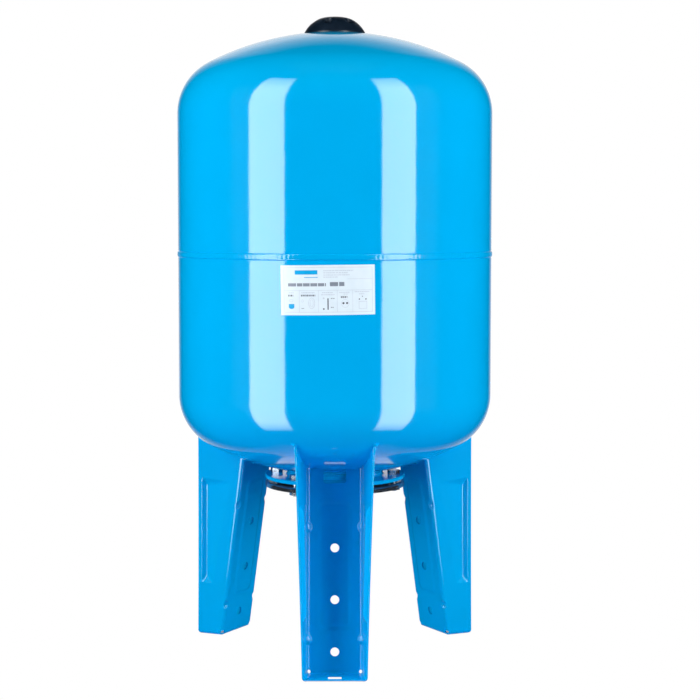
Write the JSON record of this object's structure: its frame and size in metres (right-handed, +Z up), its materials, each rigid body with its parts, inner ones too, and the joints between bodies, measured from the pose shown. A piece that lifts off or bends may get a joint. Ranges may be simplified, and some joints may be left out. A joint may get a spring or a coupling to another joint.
{
  "type": "well pressure tank",
  "caption": "Vertical blue steel pressure tank with domed ends on pressed channel legs, with a bottom flange, an inlet nipple and an air valve under a top cover.",
  "frame": {"origin": "on the floor under the tank's axis, at the bottom centre of the box", "axes": "+Z up along the tank's axis; the front leg and the label face -Y"},
  "size_m": [0.3767, 0.3768, 0.7598],
  "materials": {
    "blue_enamel": "gloss powder coat",
    "zinc_plate": "bright zinc plating",
    "black_rubber": "matt",
    "valve_brass": "turned",
    "black_plastic": "semi-gloss moulded",
    "label_film": "printed film"
  },
  "bodies": {
    "root": {"upper_shell": "blue_enamel", "lower_shell": "blue_enamel", "girth_weld": "blue_enamel", "neck_collar": "blue_enamel", "neck_weld": "blue_enamel", "leg_front": "blue_enamel", "leg_right": "blue_enamel", "leg_left": "blue_enamel", "leg_front_weld": "blue_enamel", "leg_right_weld": "blue_enamel", "leg_left_weld": "blue_enamel", "bladder": "black_rubber", "valve_seal": "black_rubber", "counterflange": "zinc_plate", "inlet_nipple": "zinc_plate", "nipple_weld": "zinc_plate", "flange_bolts": "zinc_plate", "flange_washers": "zinc_plate", "flange_nuts": "zinc_plate", "valve_boss": "blue_enamel", "valve_body": "valve_brass", "valve_core": "valve_brass", "valve_cap": "black_plastic", "top_cover": "black_plastic", "label": "label_film"}
  },
  "joints": []
}
